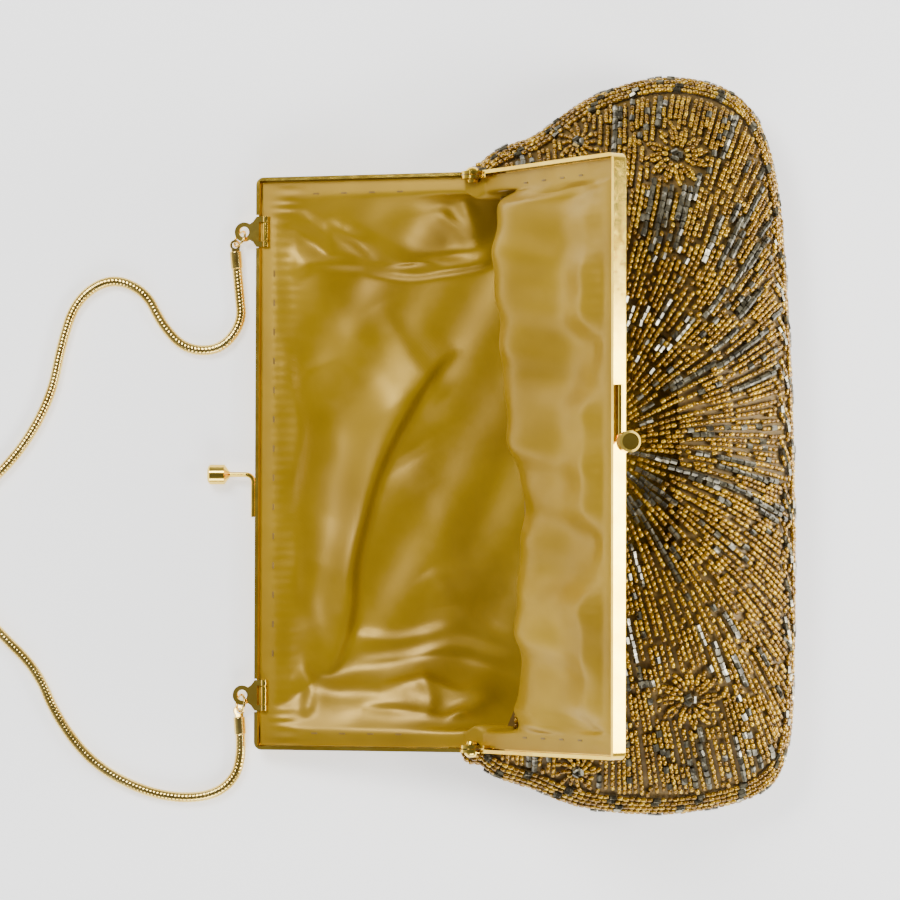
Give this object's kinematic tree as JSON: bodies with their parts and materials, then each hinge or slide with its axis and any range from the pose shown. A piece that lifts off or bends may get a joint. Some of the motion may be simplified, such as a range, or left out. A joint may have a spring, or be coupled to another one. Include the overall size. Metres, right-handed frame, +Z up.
{
  "type": "evening bag",
  "caption": "Open clutch-style evening bag with a hinged metal frame, kiss clasp knobs, beaded cloth pouch, satin lining and a snake chain on folding tabs.",
  "frame": {"origin": "centre of the bag's bounding box on the surface it lies on, leaving out the chain and its caps", "axes": "+X from the mouth towards the bottom of the bag, +Y along the hinge axis, +Z up"},
  "size_m": [0.2648, 0.2314, 0.0976],
  "materials": {
    "frame_gilt": "polished",
    "clasp_gilt": "polished",
    "chain_gilt": "polished",
    "rail_steel": "satin",
    "beaded_cloth": "beaded",
    "bead_strand": "glossy",
    "satin": "satin",
    "thread": "satin"
  },
  "bodies": {
    "back_half": {"back_clasp_arm": "clasp_gilt", "back_clasp_knob": "clasp_gilt", "back_frame": "frame_gilt", "back_lining": "satin", "back_panel": "beaded_cloth", "back_rail": "rail_steel", "back_stitches": "thread", "hinge_rivets": "frame_gilt", "pouch": "beaded_cloth", "pouch_lining": "satin", "seam_piping": "bead_strand", "tab_keeper_lower": "frame_gilt", "tab_keeper_upper": "frame_gilt", "tab_pins": "frame_gilt"},
    "front_half": {"front_frame": "frame_gilt", "front_rail": "rail_steel", "front_clasp_arm": "clasp_gilt", "front_clasp_knob": "clasp_gilt", "front_panel": "beaded_cloth", "front_lining": "satin", "front_stitches": "thread"},
    "chain_handle": {"chain_tab_upper": "clasp_gilt", "chain_tab_lower": "clasp_gilt", "jump_rings": "chain_gilt", "chain_cap_upper": "chain_gilt", "chain_cap_lower": "chain_gilt", "snake_chain": "chain_gilt"}
  },
  "joints": [
    {"name": "frame_opening", "type": "hinge", "parent": "back_half", "child": "front_half", "pos_m": [-0.00872, -0.00573, 0.0258], "axis": [0, 1, 0], "range_deg": [-142, 0]},
    {"name": "handle_swing", "type": "hinge", "parent": "back_half", "child": "chain_handle", "pos_m": [-0.0738, -0.00573, 0.00532], "axis": [0, 1, 0], "range_deg": [0, 20]}
  ]
}
